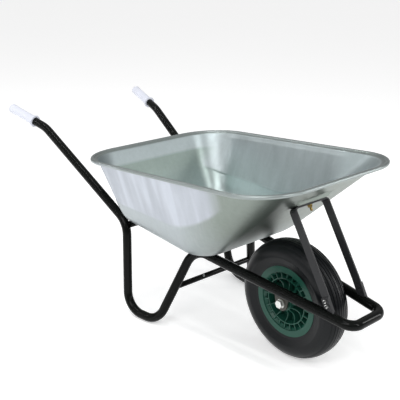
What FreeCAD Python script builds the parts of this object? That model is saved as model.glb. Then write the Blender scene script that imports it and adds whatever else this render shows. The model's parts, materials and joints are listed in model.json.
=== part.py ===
"""Single-wheel builder's wheelbarrow: pressed galvanised tray on a bent tube frame.

Millimetres. +X points forward, from the grips to the wheel; +Y is the barrow's left; +Z is up.
Everything is drawn with the wheel's axle above X = 0 and the ground at Z = 0. At the end it is
moved along X so that the origin is the middle of the base of the whole object's box.
"""
import FreeCAD, Part
import math
import os

Vector = FreeCAD.Vector
Y_AXIS = Vector(0, 1, 0)
Z_AXIS = Vector(0, 0, 1)

# ---------------------------------------------------------------- driving dimensions
# Wheel and tyre
wheel_diameter = 400.0
tyre_width = 102.0
tyre_wall = 5.0
tread_thickness = 9.0
tread_rib_count = 7
tread_groove_width = 3.0
tread_groove_depth = 2.5
tread_width = 66.0
tyre_squareness = 2.4
tyre_bead_share = 0.6
section_steps = 24
inner_tube_wall = 2.0
rim_flange_radius = 119.5
rim_half_width = 41.0
rim_flange_thickness = 4.0
bead_seat_radius = 103.0
rim_wall = 4.0
rim_well_depth = 8.0
rim_well_half_width = 17.0
rim_well_slope_half_width = 25.0
rim_back_half_width = 29.0
hub_radius = 29.0
hub_half_length = 44.0
hub_bore_radius = 12.0
web_thickness = 6.0
spoke_count = 12
spoke_thickness = 3.4
rib_overlap = 1.0
rib_edge_steps = 12
middle_ring_radius = 77.0
middle_ring_wall = 3.2
spoke_dish_depth = 14.0
valve_stem_radius = 4.2
valve_stem_length = 34.0
valve_cap_radius = 5.2
valve_cap_length = 11.0
valve_cap_fillet = 1.3
valve_offset_y = 11.0
valve_finger_room = 1.2

# Axle
axle_diameter = 16.0
axle_nut_across_flats = 24.0
axle_nut_height = 13.0
axle_head_height = 10.0
axle_end_chamfer = 1.2
axle_tip_length = 2.4
axle_washer_radius = 15.0
axle_washer_thickness = 3.0
bush_flange_radius = 17.0
bush_flange_thickness = 3.0
spacer_radius = 13.0
bracket_inner_y = 54.0
bracket_thickness = 5.0
bracket_width = 50.0
bracket_top_width = 72.0
bracket_overlap = 3.0

# Frame: corner points of the left tube's centre line, (x, y, z), and the bends between them
tube_diameter = 32.0
tube_wall = 1.5
grip_end = Vector(-1275, 306, 654)
handle_bend = Vector(-1075, 270, 606)
handle_foot = Vector(-612, 222, 334)
rear_foot = Vector(-570, 258, tube_diameter / 2)
front_foot = Vector(-423, 234, tube_diameter / 2)
knee = Vector(-339, 135, 300)
nose = Vector(289, 72, 243)
handle_bend_radius = 150.0
handle_foot_radius = 90.0
foot_radius = 75.0
knee_radius = 75.0
nose_radius = 36.0

# Cross members
rear_cross_diameter = 25.0
rear_cross_wall = 1.5
rear_cross_x = -598.0
front_cross_x = -300.0
front_cross_width = 35.0
front_cross_thickness = 4.0
front_cross_overhang = 12.0
brace_diameter = 20.0
brace_wall = 1.5
brace_height = 152.0
brace_screw_spacing = 120.0
brace_screw_head_radius = 4.5
brace_screw_head_height = 2.6
brace_screw_shank_radius = 2.0

# Tray
tray_wall = 1.2
tray_wall_inset = 1.7
rim_front_x = 168.0
rim_rear_x = -774.0
rim_front_z = 645.0
rim_rear_z = 563.5
rim_front_half = 323.0
rim_rear_half = 336.0
rim_front_radius = 156.0
rim_rear_radius = 169.0
lip_width = 22.0
bead_radius = 6.5
bead_wall = 1.2
floor_front_x = -211.0
floor_rear_x = -636.0
floor_front_half = 226.0
floor_rear_half = 240.0
floor_front_radius = 80.0
floor_rear_radius = 60.0
floor_slope = 0.09
floor_edge_run = 48.0
floor_rear_run = 26.0
floor_edge_steps = 4
floor_edge_lift_share = 0.6
dimple_depth = 1.5
dimple_radius = 14.0
dimple_floor_radius = 11.0
pad_half_width = 88.0
pad_height = 54.0
pad_draft = 32.0

# Front stay
stay_width = 28.0
stay_thickness = 5.0
stay_leg_y = 75.0
stay_bend_radius = 9.0
stay_top = Vector(41.5, 0, 536.5)
stay_kink = Vector(182.5, 0, 312.5)
stay_end = Vector(210.0, 0, 262.0)
lug_height = 46.0
stay_bolt_spacing = 15.0

# Grips
grip_length = 145.0
grip_radius = 18.0
grip_end_radius = 19.0
grip_end_swell = 26.0
grip_end_wall = 4.0
grip_edge_radius = 5.0
grip_flange_radius = 23.5
grip_flange_thickness = 6.0
grip_flange_slope = 1.0

# Fasteners: shank radius, head radius or flats, and thicknesses
tray_bolt_radius = 4.0
tray_bolt_head_radius = 10.0
tray_bolt_head_height = 4.0
tray_bolt_spacing_rear = 300.0
tray_bolt_spacing_front = 180.0
tray_washer_radius = 9.0
tray_washer_thickness = 1.6
m8_flats = 13.0
m8_nut_height = 6.5
m8_head_height = 5.5
stay_top_bolt_radius = 4.0
stay_top_bolt_reach = 20.0
stay_bolt_radius = 3.0
m6_flats = 10.0
m6_head_height = 4.0
m6_nut_height = 5.0
hexagon_crown_share = 0.98

# Clearances
running_fit = 0.05
loose_fit = 0.3
bolt_hole_fit = 0.25
face_gap = 0.3
hole_reach = 8.0

# ---------------------------------------------------------------- worked out once
wheel_radius = wheel_diameter / 2
tube_radius = tube_diameter / 2
axle_radius = axle_diameter / 2
axle_centre = Vector(0, 0, wheel_radius)


# ---------------------------------------------------------------- helpers
def unit(vector):
    return Vector(vector).normalize()


def mirrored(shape):
    """The same shape on the barrow's right side."""
    return shape.mirror(Vector(0, 0, 0), Y_AXIS)


def rod(start, direction, radius, length):
    return Part.makeCylinder(radius, length, start, direction)


def washer(start, direction, outer_radius, inner_radius, thickness):
    ring = rod(start, direction, outer_radius, thickness)
    return ring.cut(rod(start, direction, inner_radius, thickness))


def hexagon(start, direction, flats, height):
    """Hexagonal prism standing on start, with its axis along direction."""
    corner_radius = flats / math.sqrt(3)
    corners = [Vector(corner_radius * math.cos(math.radians(60 * step)),
                      corner_radius * math.sin(math.radians(60 * step)), 0) for step in range(7)]
    prism = Part.Face(Part.makePolygon(corners)).extrude(Vector(0, 0, height))
    crown_radius = corner_radius * hexagon_crown_share
    crown = Part.makeCone(crown_radius + height, crown_radius, height)
    prism = prism.common(crown)
    prism.Placement = FreeCAD.Placement(start, FreeCAD.Rotation(Z_AXIS, direction))
    return prism


def hole_cutter(middle, direction, bolt_radius):
    """Cylinder that cuts a bolt's clearance hole through thin metal around middle."""
    return rod(middle - direction * hole_reach, direction, bolt_radius + bolt_hole_fit, hole_reach * 2)


def nut(start, direction, flats, height, hole_radius):
    return hexagon(start, direction, flats, height).cut(rod(start, direction, hole_radius, height))


def rounded_path(points, radii):
    """Edges of straight runs joined by tangent arcs; radii belong to the inner points."""
    edges = []
    run_start = points[0]
    for before, corner, after, radius in zip(points, points[1:], points[2:], radii):
        back = unit(before - corner)
        ahead = unit(after - corner)
        half_turn = (math.pi - back.getAngle(ahead)) / 2
        reach = radius * math.tan(half_turn)
        inward = unit(back + ahead)
        arc_start = corner + back * reach
        arc_end = corner + ahead * reach
        arc_middle = corner + inward * (radius / math.cos(half_turn) - radius)
        edges.append(Part.LineSegment(run_start, arc_start).toShape())
        edges.append(Part.Arc(arc_start, arc_middle, arc_end).toShape())
        run_start = arc_end
    edges.append(Part.LineSegment(run_start, points[-1]).toShape())
    return edges


def swept_rod(edges, radius):
    """Solid round bar along a path of lines and arcs."""
    first = edges[0]
    start = first.valueAt(first.FirstParameter)
    direction = first.tangentAt(first.FirstParameter)
    profile = Part.Face(Part.Wire(Part.makeCircle(radius, start, direction)))
    return Part.Wire(edges).makePipe(profile)


def swept_tube(edges, outer_radius, wall):
    return swept_rod(edges, outer_radius).cut(swept_rod(edges, outer_radius - wall))


def revolved(points, axis_point=axle_centre, axis=Y_AXIS):
    """Full turn about the axle of a closed outline given as (radius, y) points."""
    outline = [axis_point + Vector(radius, y, 0) for radius, y in points]
    face = Part.Face(Part.makePolygon(outline + outline[:1]))
    return face.revolve(axis_point, axis, 360)


# ---------------------------------------------------------------- frame
def left_tube_points():
    along_grip = unit(handle_bend - grip_end)
    tube_start = grip_end + along_grip * grip_end_wall
    nose_middle = Vector(nose.x, 0, nose.z)
    return [tube_start, handle_bend, handle_foot, rear_foot, front_foot, knee, nose, nose_middle]


def left_tube_edges():
    radii = [handle_bend_radius, handle_foot_radius, foot_radius, foot_radius, knee_radius, nose_radius]
    return rounded_path(left_tube_points(), radii)


def tube_point_at(x):
    """Centre of the left tube's straight run beside the wheel, at this X."""
    share = (x - knee.x) / (nose.x - knee.x)
    return knee + (nose - knee) * share


def leg_point_at(z):
    """Centre of the left front leg's straight run, at this height."""
    share = (z - front_foot.z) / (knee.z - front_foot.z)
    return front_foot + (knee - front_foot) * share


def floor_z(x):
    """Underside of the tray's floor, whose bolt dimples rest on the front cross bar."""
    bar_top = tube_point_at(front_cross_x).z + tube_radius + front_cross_thickness
    return bar_top + dimple_depth - floor_slope * (x - front_cross_x)


def floor_normal():
    return unit(Vector(floor_slope, 0, 1))


def rear_cross_centre():
    floor_point = Vector(rear_cross_x, 0, floor_z(rear_cross_x))
    return floor_point - floor_normal() * (dimple_depth + rear_cross_diameter / 2)


def make_rear_cross(frame_solids):
    half = handle_foot.y
    start = rear_cross_centre() - Vector(0, half, 0)
    bar = rod(start, Y_AXIS, rear_cross_diameter / 2, 2 * half)
    bar = bar.cut(rod(start, Y_AXIS, rear_cross_diameter / 2 - rear_cross_wall, 2 * half))
    for solid in frame_solids:
        bar = bar.cut(solid)
    bar = max(bar.Solids, key=lambda piece: piece.Volume)
    for start, direction in tray_bolt_places()[:2]:
        bar = bar.cut(rod(start, direction, tray_bolt_radius + bolt_hole_fit, tray_stack(0)))
    return bar


def make_front_cross(frame_solids):
    half = tube_point_at(front_cross_x).y + front_cross_overhang
    bar = Part.makeBox(front_cross_width, 2 * half, front_cross_thickness,
                       Vector(-front_cross_width / 2, -half, -front_cross_thickness))
    tilt = math.degrees(math.atan(floor_slope))
    top = Vector(front_cross_x, 0, floor_z(front_cross_x)) - floor_normal() * dimple_depth
    bar.Placement = FreeCAD.Placement(top, FreeCAD.Rotation(Y_AXIS, tilt))
    for solid in frame_solids:
        bar = bar.cut(solid)
    for start, direction in tray_bolt_places()[2:]:
        bar = bar.cut(rod(start, direction, tray_bolt_radius + bolt_hole_fit, tray_stack(2)))
    return max(bar.Solids, key=lambda piece: piece.Volume)


def brace_screw_places():
    """Where the two screw heads sit on the brace, and the way the shanks go in."""
    centre = leg_point_at(brace_height)
    forward_and_up = Vector(1, 0, 1)
    outward = unit(forward_and_up)
    return [(Vector(centre.x, side * brace_screw_spacing / 2, centre.z) + outward * brace_diameter / 2,
             outward * -1) for side in (-1, 1)]


def make_brace(frame_solids):
    end = leg_point_at(brace_height)
    start = Vector(end.x, -end.y, end.z)
    bar = rod(start, Y_AXIS, brace_diameter / 2, 2 * end.y)
    bar = bar.cut(rod(start, Y_AXIS, brace_diameter / 2 - brace_wall, 2 * end.y))
    for solid in frame_solids:
        bar = bar.cut(solid)
    bar = max(bar.Solids, key=lambda piece: piece.Volume)
    for seat, direction in brace_screw_places():
        bar = bar.cut(rod(seat, direction, brace_screw_shank_radius + bolt_hole_fit, brace_diameter / 2))
    return bar


def make_brace_screws():
    screws = []
    for seat, direction in brace_screw_places():
        head = rod(seat, direction * -1, brace_screw_head_radius, brace_screw_head_height)
        shank = rod(seat, direction, brace_screw_shank_radius, brace_diameter / 2)
        screws.append(head.fuse(shank))
    return screws


# ---------------------------------------------------------------- tray
def outline(front, rear, halves, radii, inset=0.0, drop=0.0):
    """Rounded closed outline in a plane tilted about Y.

    front and rear are (x, z) of its ends; halves and radii are given front first.
    inset shrinks it all round in its own plane, and drop moves it along the plane's normal.
    """
    length = math.hypot(front[0] - rear[0], front[1] - rear[1])
    tilt = math.asin((rear[1] - front[1]) / length)
    front_radius, rear_radius = [radius - inset for radius in radii]
    front_centre = Vector(-radii[0], halves[0] - radii[0], 0)
    rear_centre = Vector(-length + radii[1], halves[1] - radii[1], 0)
    along = unit(front_centre - rear_centre)
    across = Vector(-along.y, along.x, 0)
    lean = (rear_radius - front_radius) / (front_centre - rear_centre).Length
    normal = along * lean + across * math.sqrt(1 - lean ** 2)

    def arc_points(centre, radius, end_direction):
        middle = unit(normal + end_direction)
        return [centre + normal * radius, centre + middle * radius, centre + end_direction * radius]

    front_arc = arc_points(front_centre, front_radius, Vector(1, 0, 0))
    rear_arc = arc_points(rear_centre, rear_radius, Vector(-1, 0, 0))
    flip = [Vector(point.x, -point.y, 0) for point in front_arc + rear_arc]
    front_flip = flip[:3]
    rear_flip = flip[3:]
    edges = [Part.Arc(*front_arc).toShape(),
             Part.LineSegment(front_arc[2], front_flip[2]).toShape(),
             Part.Arc(front_flip[2], front_flip[1], front_flip[0]).toShape(),
             Part.LineSegment(front_flip[0], rear_flip[0]).toShape(),
             Part.Arc(*rear_flip).toShape(),
             Part.LineSegment(rear_flip[2], rear_arc[2]).toShape(),
             Part.Arc(rear_arc[2], rear_arc[1], rear_arc[0]).toShape(),
             Part.LineSegment(rear_arc[0], front_arc[0]).toShape()]
    wire = Part.Wire(edges)
    rotation = FreeCAD.Rotation(Y_AXIS, math.degrees(tilt))
    base = Vector(front[0], 0, front[1]) - rotation.multVec(Z_AXIS) * drop
    wire.Placement = FreeCAD.Placement(base, rotation)
    return wire


def rim_outline(inset, drop=0.0):
    return outline((rim_front_x, rim_front_z), (rim_rear_x, rim_rear_z), (rim_front_half, rim_rear_half),
                   (rim_front_radius, rim_rear_radius), inset, drop)


def tray_sections(skin):
    """Outlines from the floor up to the lip; skin is how far inside the outer surface they lie."""
    top = [rim_front_x - lip_width, rim_front_z, rim_rear_x + lip_width, rim_rear_z,
           rim_front_half - lip_width, rim_rear_half - lip_width,
           rim_front_radius - lip_width, rim_rear_radius - lip_width]
    corner = [floor_front_x, floor_z(floor_front_x), floor_rear_x, floor_z(floor_rear_x),
              floor_front_half, floor_rear_half, floor_front_radius, floor_rear_radius]
    run = floor_edge_run
    rear_x = corner[2] + floor_rear_run
    floor = [corner[0] - run, floor_z(corner[0] - run), rear_x, floor_z(rear_x),
             corner[4] - run, corner[5] - run, corner[6] - run / 2, corner[7] - run / 2]
    rise = run / math.hypot(top[0] - corner[0], top[1] - corner[1])
    wall = [low + (high - low) * rise for low, high in zip(corner, top)]
    levels = []
    for step in range(floor_edge_steps + 1):
        share = step / floor_edge_steps
        levels.append([flat * (1 - share) ** 2 + 2 * sharp * share * (1 - share) + steep * share ** 2
                       for flat, sharp, steep in zip(floor, corner, wall)])
    levels.append(top)
    wires = []
    for number, level in enumerate(levels):
        front_x, front_z, rear_x, rear_z, front_half, rear_half, front_radius, rear_radius = level
        steepness = min(number / floor_edge_steps, 1)
        inset = skin * steepness * tray_wall_inset / tray_wall
        edge_share = floor_edge_lift_share if number <= floor_edge_steps else 0
        lift = skin * (1 - steepness + edge_share * steepness)
        wires.append(outline((front_x, front_z), (rear_x, rear_z), (front_half, rear_half),
                             (front_radius, rear_radius), inset, -lift))
    return wires


def stay_direction():
    return unit(stay_kink - stay_top)


def pad_block(skin):
    """Pressed pad of the front wall, with its face square to the stay; skin as in tray_sections."""
    direction = stay_direction()
    upward = unit(Y_AXIS.cross(direction))
    face_centre = stay_top - direction * (stay_thickness / 2 + skin)

    def ring(centre, half_width, half_height):
        corners = [centre + Y_AXIS * side * half_width + upward * rise * half_height
                   for side, rise in ((-1, -1), (1, -1), (1, 1), (-1, 1))]
        return Part.makePolygon(corners + corners[:1])

    face = ring(face_centre, pad_half_width - skin, pad_height / 2 - skin)
    base = ring(face_centre - direction * pad_height, pad_half_width + pad_draft - skin,
                pad_height / 2 + pad_draft - skin)
    return Part.makeLoft([face, base], True, True)


def above_rim(wire):
    """Everything over the lip's plane near the front of the tray."""
    face = Part.Face(wire)
    normal = face.normalAt(0, 0)
    if normal.z < 0:
        normal = normal * -1
    return face.extrude(normal * pad_height * 2)


def dimple_cone(start, direction, growth):
    """Shallow cone going down from the floor; growth widens it for the outside of the sheet."""
    return Part.makeCone(dimple_radius + growth, dimple_floor_radius + growth, dimple_depth, start, direction)


def make_tray():
    outer = Part.makeLoft(tray_sections(0), True, True)
    inner = Part.makeLoft(tray_sections(tray_wall), True, True)
    pad_cut_plane = rim_outline(lip_width)
    pan = outer.fuse(pad_block(0).cut(above_rim(pad_cut_plane)))
    pan = pan.cut(inner).cut(pad_block(tray_wall))
    lip_outer = Part.Face(rim_outline(bead_radius))
    lip_inner = Part.Face(rim_outline(lip_width + tray_wall_inset))
    rim_up = lip_outer.normalAt(0, 0)
    if rim_up.z < 0:
        rim_up = rim_up * -1
    lip = lip_outer.cut(lip_inner).extrude(rim_up * -tray_wall)
    path = rim_outline(bead_radius, tray_wall / 2)
    bead = swept_rod(path.Edges, bead_radius)
    bore = swept_rod(path.Edges, bead_radius - bead_wall)
    tray = pan.fuse([lip, bead]).cut(bore)
    for seat, direction in tray_bolt_places():
        floor_underside = seat - direction * (dimple_depth - tray_wall)
        tray = tray.fuse(dimple_cone(floor_underside, direction, tray_wall / 2))
        tray = tray.cut(dimple_cone(floor_underside - direction * tray_wall, direction, 0))
        tray = tray.cut(hole_cutter(seat, direction, tray_bolt_radius))
    tray = tray.cut(hole_cutter(stay_top, stay_direction(), stay_top_bolt_radius))
    return max(tray.removeSplitter().Solids, key=lambda piece: piece.Volume)


def make_rim_wire():
    path = rim_outline(bead_radius, tray_wall / 2)
    return swept_rod(path.Edges, bead_radius - bead_wall - loose_fit)


# ---------------------------------------------------------------- tray fasteners
def tray_bolt_places():
    """Where the bolt heads sit, in the dimples of the tray floor, and the way the bolts go down."""
    down = floor_normal() * -1
    places = []
    rows = ((rear_cross_x, tray_bolt_spacing_rear), (front_cross_x, tray_bolt_spacing_front))
    for x, spacing in rows:
        for side in (-1, 1):
            seat = Vector(x, side * spacing / 2, floor_z(x)) + down * (dimple_depth - tray_wall)
            places.append((seat, down))
    return places


def tray_stack(index):
    """Depth from the floor's upper side to the underside of the cross member."""
    member = rear_cross_diameter if index < 2 else front_cross_thickness
    return tray_wall + member


def make_tray_bolts():
    bolts = []
    for index, (start, direction) in enumerate(tray_bolt_places()):
        grip = tray_stack(index) + tray_washer_thickness + m8_nut_height + tray_bolt_radius
        shank = rod(start, direction, tray_bolt_radius, grip)
        height = tray_bolt_head_height
        sphere_radius = (tray_bolt_head_radius ** 2 + height ** 2) / (2 * height)
        centre = start + direction * (sphere_radius - height)
        dome = Part.makeSphere(sphere_radius, centre)
        dome = dome.common(rod(start, direction * -1, sphere_radius, sphere_radius))
        bolts.append(dome.fuse(shank))
    return bolts


def make_tray_washers():
    hole = tray_bolt_radius + bolt_hole_fit
    return [washer(start + direction * tray_stack(index), direction, tray_washer_radius, hole,
                   tray_washer_thickness) for index, (start, direction) in enumerate(tray_bolt_places())]


def make_tray_nuts():
    return [nut(start + direction * (tray_stack(index) + tray_washer_thickness), direction, m8_flats,
                m8_nut_height, tray_bolt_radius + running_fit)
            for index, (start, direction) in enumerate(tray_bolt_places())]


# ---------------------------------------------------------------- front stay
def plate_between(start, end, y_middle, thickness, width):
    """Upright flat bar whose middle line runs from start to end in the plane Y = y_middle."""
    along = unit(end - start)
    across = unit(Y_AXIS.cross(along)) * width / 2
    low = Vector(0, y_middle - thickness / 2, 0)
    corners = [start + across + low, end + across + low, end - across + low, start - across + low]
    return Part.Face(Part.makePolygon(corners + corners[:1])).extrude(Y_AXIS * thickness)


def stay_bolt_starts():
    """Middles of the two bolts in a leg, in the plane Y = 0."""
    along = unit(stay_end - stay_kink)
    middle = (stay_kink + stay_end) * 0.5
    return [middle + along * stay_bolt_spacing * share for share in (-0.5, 0.5)]


def make_stay(frame_solids):
    """Flat bar bent into an upside-down U that stands on the two frame tubes."""
    direction = stay_direction()
    half = stay_thickness / 2
    leg_length = (stay_kink - stay_top).Length
    inner = stay_leg_y - half
    outer = stay_leg_y + half

    def upper_profile(reach, top, radius):
        points = [Vector(-reach, -leg_length, 0), Vector(-reach, top, 0), Vector(reach, top, 0),
                  Vector(reach, -leg_length, 0)]
        return rounded_path(points, [radius, radius])

    outer_edges = upper_profile(outer, half, stay_bend_radius + stay_thickness)
    inner_edges = upper_profile(inner, -half, stay_bend_radius)
    ends = [Part.LineSegment(Vector(side * outer, -leg_length, 0),
                             Vector(side * inner, -leg_length, 0)).toShape() for side in (-1, 1)]
    around = Part.__sortEdges__(outer_edges + inner_edges + ends)
    hoop = Part.Face(Part.Wire(around)).extrude(Vector(0, 0, stay_width))
    hoop.translate(Vector(0, 0, -stay_width / 2))
    rotation = FreeCAD.Rotation(Y_AXIS, direction * -1, Vector(), "XYZ")
    hoop.Placement = FreeCAD.Placement(stay_top, rotation).multiply(hoop.Placement)
    foot = plate_between(stay_kink, stay_end, stay_leg_y, stay_thickness, stay_width)
    elbow = rod(Vector(stay_kink.x, inner, stay_kink.z), Y_AXIS, stay_width / 2, stay_thickness)
    leg = foot.fuse(elbow)
    stay = hoop.fuse([leg, mirrored(leg)])
    stay = stay.cut(hole_cutter(stay_top, direction, stay_top_bolt_radius))
    for start in stay_bolt_starts():
        for side in (-1, 1):
            middle = Vector(start.x, side * stay_leg_y, start.z)
            stay = stay.cut(hole_cutter(middle, Y_AXIS, stay_bolt_radius))
    for solid in frame_solids:
        stay = stay.cut(solid)
    return max(stay.removeSplitter().Solids, key=lambda piece: piece.Volume)


def make_lug(frame_solid):
    """Plate welded to the top of the left tube, against the outside of the stay's leg."""
    along = unit(stay_end - stay_kink)
    foot = stay_end + along * tube_radius
    top = foot - along * (lug_height + tube_radius)
    y_middle = stay_leg_y + stay_thickness
    plate = plate_between(top, foot, y_middle, stay_thickness, stay_width)
    plate = plate.cut(frame_solid)
    plate = max(plate.Solids, key=lambda piece: piece.BoundBox.ZMax)
    for start in stay_bolt_starts():
        plate = plate.cut(hole_cutter(Vector(start.x, y_middle, start.z), Y_AXIS, stay_bolt_radius))
    return plate


def make_stay_bolts():
    bolts = []
    inner = stay_leg_y - stay_thickness / 2
    grip = stay_thickness * 2 + m6_nut_height + stay_bolt_radius
    for start in stay_bolt_starts():
        seat = Vector(start.x, inner, start.z)
        bolt = rod(seat, Y_AXIS, stay_bolt_radius, grip)
        bolt = bolt.fuse(hexagon(seat, Y_AXIS * -1, m6_flats, m6_head_height))
        bolts += [bolt, mirrored(bolt)]
    return bolts


def make_stay_nuts():
    nuts = []
    outer = stay_leg_y + stay_thickness / 2 + stay_thickness
    for start in stay_bolt_starts():
        piece = nut(Vector(start.x, outer, start.z), Y_AXIS, m6_flats, m6_nut_height,
                    stay_bolt_radius + running_fit)
        nuts += [piece, mirrored(piece)]
    return nuts


def stay_top_seat():
    """Where the top bolt's head sits, inside the tray."""
    return stay_top - stay_direction() * (stay_thickness / 2 + tray_wall)


def make_stay_top_bolt():
    direction = stay_direction()
    seat = stay_top_seat()
    reach = tray_wall + stay_thickness + stay_top_bolt_reach
    bolt = rod(seat, direction, stay_top_bolt_radius, reach)
    return bolt.fuse(hexagon(seat, direction * -1, m8_flats, m8_head_height))


def make_stay_top_washer():
    seat = stay_top + stay_direction() * stay_thickness / 2
    return washer(seat, stay_direction(), tray_washer_radius, stay_top_bolt_radius + bolt_hole_fit,
                  tray_washer_thickness)


def make_stay_top_nut():
    seat = stay_top + stay_direction() * (stay_thickness / 2 + tray_washer_thickness)
    return nut(seat, stay_direction(), m8_flats, m8_nut_height, stay_top_bolt_radius + running_fit)


# ---------------------------------------------------------------- axle group
def make_bracket(frame_solid):
    """Left axle bracket: upright plate with a top flange welded under the tube."""
    tube = tube_point_at(0)
    half_bottom = bracket_width / 2
    half_top = bracket_top_width / 2
    top_z = tube.z - (tube_diameter / 2 - bracket_overlap)
    side_z = axle_centre.z
    points = [Vector(-half_bottom, 0, side_z), Vector(-half_top, 0, top_z), Vector(half_top, 0, top_z),
              Vector(half_bottom, 0, side_z)]
    edges = [Part.LineSegment(first, second).toShape() for first, second in zip(points, points[1:])]
    edges.append(Part.Arc(points[3], Vector(0, 0, side_z - half_bottom), points[0]).toShape())
    plate = Part.Face(Part.Wire(edges)).extrude(Y_AXIS * bracket_thickness)
    plate.translate(Y_AXIS * bracket_inner_y)
    flange = Part.makeBox(bracket_top_width, tube.y - bracket_inner_y, bracket_thickness,
                          Vector(-half_top, bracket_inner_y, top_z - bracket_thickness))
    bracket = plate.fuse(flange).cut(frame_solid)
    bracket = max(bracket.Solids, key=lambda piece: piece.Volume)
    return bracket.cut(rod(axle_centre, Y_AXIS, axle_radius + running_fit, tube.y)).removeSplitter()


def outer_stack_y():
    return bracket_inner_y + bracket_thickness


def make_axle():
    """Threaded bar through both brackets, with a bolt head on the right and a nut on the left."""
    head_y = -outer_stack_y() - axle_washer_thickness
    tip_y = outer_stack_y() + axle_washer_thickness + axle_nut_height + axle_tip_length
    shank = rod(axle_centre + Y_AXIS * head_y, Y_AXIS, axle_radius, tip_y - head_y)
    tip = max(shank.Edges, key=lambda edge: edge.CenterOfMass.y)
    shank = shank.makeChamfer(axle_end_chamfer, [tip])
    return shank.fuse(hexagon(axle_centre + Y_AXIS * head_y, Y_AXIS * -1, axle_nut_across_flats,
                              axle_head_height))


def make_axle_washers():
    piece = washer(axle_centre + Y_AXIS * outer_stack_y(), Y_AXIS, axle_washer_radius,
                   axle_radius + running_fit, axle_washer_thickness)
    return [piece, mirrored(piece)]


def make_axle_nut():
    seat = axle_centre + Y_AXIS * (outer_stack_y() + axle_washer_thickness)
    return nut(seat, Y_AXIS, axle_nut_across_flats, axle_nut_height, axle_radius + running_fit)


def bush_outer_y():
    return hub_half_length + bush_flange_thickness


def make_spacer():
    """Left tube over the axle between the wheel's bush and the bracket."""
    start = bush_outer_y() + face_gap
    return washer(axle_centre + Y_AXIS * start, Y_AXIS, spacer_radius, axle_radius + running_fit,
                  bracket_inner_y - start)


def make_bush():
    """Left flanged bush that the wheel turns on."""
    bore = axle_radius + running_fit
    body_inner_y = web_thickness
    body = washer(axle_centre + Y_AXIS * body_inner_y, Y_AXIS, hub_bore_radius, bore,
                  hub_half_length - body_inner_y)
    flange = washer(axle_centre + Y_AXIS * hub_half_length, Y_AXIS, bush_flange_radius, bore,
                    bush_flange_thickness)
    return body.fuse(flange).removeSplitter()


# ---------------------------------------------------------------- wheel
def valve_direction():
    """Way out from the axle to the valve, halfway between two ribs."""
    angle = math.pi / spoke_count / 2
    return Vector(math.sin(angle), 0, -math.cos(angle))


def valve_point(radius):
    return axle_centre + valve_direction() * radius + Y_AXIS * valve_offset_y


def spoke_edge_y(radius):
    """Half width of the ribs at this radius: full from the rim to the ring, dished from there to the hub."""
    end_y = rim_half_width - rim_flange_thickness
    share = min((radius - hub_radius) / (middle_ring_radius - hub_radius), 1)
    return end_y - spoke_dish_depth * math.sin(math.pi * share)


def rib_plate(start_radius, end_radius):
    """Radial rib through the whole width, with both edges dished."""
    step_length = (end_radius - start_radius) / rib_edge_steps
    radii = [start_radius + step_length * step for step in range(rib_edge_steps + 1)]
    clamped = [min(max(radius, hub_radius), bead_seat_radius - rim_wall) for radius in radii]
    upper = [Vector(radius, spoke_edge_y(place), 0) for radius, place in zip(radii, clamped)]
    lower = [Vector(radius, -spoke_edge_y(place), 0) for radius, place in zip(radii, clamped)]
    corners = upper + lower[::-1]
    face = Part.Face(Part.makePolygon(corners + corners[:1]))
    rib = face.extrude(Vector(0, 0, spoke_thickness))
    rib.translate(axle_centre - Vector(0, 0, spoke_thickness / 2))
    return rib


def make_wheel_centre():
    """Moulded plastic wheel: rim, web, hub, a middle ring and ribs on both sides."""
    seat = bead_seat_radius
    half = rim_half_width
    flange = rim_flange_radius
    lip = rim_flange_thickness
    well = seat - rim_well_depth
    half_web = web_thickness / 2
    profile = [(hub_bore_radius, hub_half_length), (hub_radius, hub_half_length), (hub_radius, half_web),
               (well - rim_wall, half_web), (well - rim_wall, rim_back_half_width),
               (seat - rim_wall, half - lip), (seat - rim_wall, half), (flange, half), (flange, half - lip),
               (seat, half - lip), (seat, rim_well_slope_half_width), (well, rim_well_half_width)]
    lower = [(radius, -y) for radius, y in reversed(profile)]
    wheel = revolved(profile + lower)
    ring_top = spoke_edge_y(middle_ring_radius)
    wheel = wheel.fuse(revolved([(middle_ring_radius - middle_ring_wall / 2, -ring_top),
                                 (middle_ring_radius + middle_ring_wall / 2, -ring_top),
                                 (middle_ring_radius + middle_ring_wall / 2, ring_top),
                                 (middle_ring_radius - middle_ring_wall / 2, ring_top)]))
    ribs = []
    for number in range(spoke_count * 2):
        is_long = number % 2 == 0
        start = hub_radius - rib_overlap if is_long else middle_ring_radius
        rib = rib_plate(start, seat - rim_wall + rib_overlap)
        rib.rotate(axle_centre, Y_AXIS, number * 180 / spoke_count)
        ribs.append(rib)
    wheel = wheel.fuse(ribs)
    room = rod(valve_point(hub_radius), valve_direction(), valve_cap_radius + valve_finger_room,
               well - rim_wall - hub_radius)
    hole = rod(valve_point(hub_radius), valve_direction(), valve_stem_radius + loose_fit, seat - hub_radius)
    wheel = wheel.cut([room, hole])
    return wheel.removeSplitter()


def tyre_profile(shrink, steps):
    """Points (radius, y) of the tyre's rounded section, from one bead round to the other."""
    half_width = tyre_width / 2 - shrink
    bead_y = rim_half_width - rim_flange_thickness - loose_fit - shrink * tyre_bead_share
    crown = wheel_radius - shrink * tread_thickness / tyre_wall
    middle = wheel_radius - tyre_width / 2
    bead_radius_here = bead_seat_radius + loose_fit
    flare_radius = rim_flange_radius + loose_fit
    power = 2 / tyre_squareness
    points = [(bead_radius_here, -bead_y), (flare_radius, -bead_y)]
    for step in range(steps + 1):
        angle = math.pi * step / steps
        across = -math.copysign(abs(math.cos(angle)) ** power, math.cos(angle))
        points.append((middle + (crown - middle) * abs(math.sin(angle)) ** power, half_width * across))
    return points + [(flare_radius, bead_y), (bead_radius_here, bead_y)]


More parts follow.
